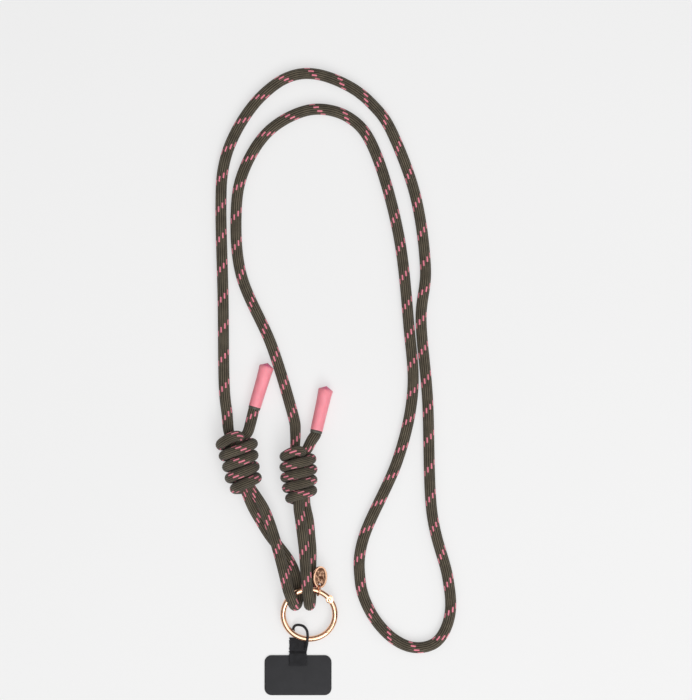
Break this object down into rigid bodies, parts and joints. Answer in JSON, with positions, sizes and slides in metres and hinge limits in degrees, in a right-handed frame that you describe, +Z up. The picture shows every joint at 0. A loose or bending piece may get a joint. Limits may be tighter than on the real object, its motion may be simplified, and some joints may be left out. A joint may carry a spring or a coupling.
{
  "type": "phone crossbody strap with phone tether",
  "caption": "Long braided rope strap, tied with barrel knots to a hinged gate ring that holds a small oval charm and a thin phone tether.",
  "frame": {"origin": "on the table under the middle of the strap's box, as it lies", "axes": "+Z up from the table, +Y along the strap away from the ring, +X to the right in the picture's view"},
  "size_m": [0.136, 0.3551, 0.0196],
  "materials": {
    "braided_cord": "round plaited cord, matt dark olive brown, ribbed along its length, with pink tracer stitches in a slow helix",
    "pink_sleeve": "smooth soft pink sleeve with a low sheen",
    "rose_gold": "polished rose gold plating on metal",
    "black_webbing": "black woven webbing and thin black cord, matt"
  },
  "bodies": {
    "root": {"strap_cord": "braided_cord", "left_leg": "braided_cord", "right_leg": "braided_cord", "left_knot": "braided_cord", "right_knot": "braided_cord", "left_tail": "braided_cord", "right_tail": "braided_cord", "left_end_cap": "pink_sleeve", "right_end_cap": "pink_sleeve", "ring_body": "rose_gold", "gate_pin": "rose_gold", "jump_ring": "rose_gold", "oval_charm": "rose_gold", "tether_loop": "black_webbing", "tether_tab": "black_webbing", "insert_card": "black_webbing"},
    "gate": {"ring_gate": "rose_gold"}
  },
  "joints": [
    {"name": "gate_hinge", "type": "hinge", "parent": "root", "child": "gate", "pos_m": [-0.00346, -0.12235, 0.00863], "axis": [0, 0.2419, -0.9703], "range_deg": [0, 22], "stiffness_Nm_per_rad": 0.02, "springref_deg": -14.32}
  ]
}
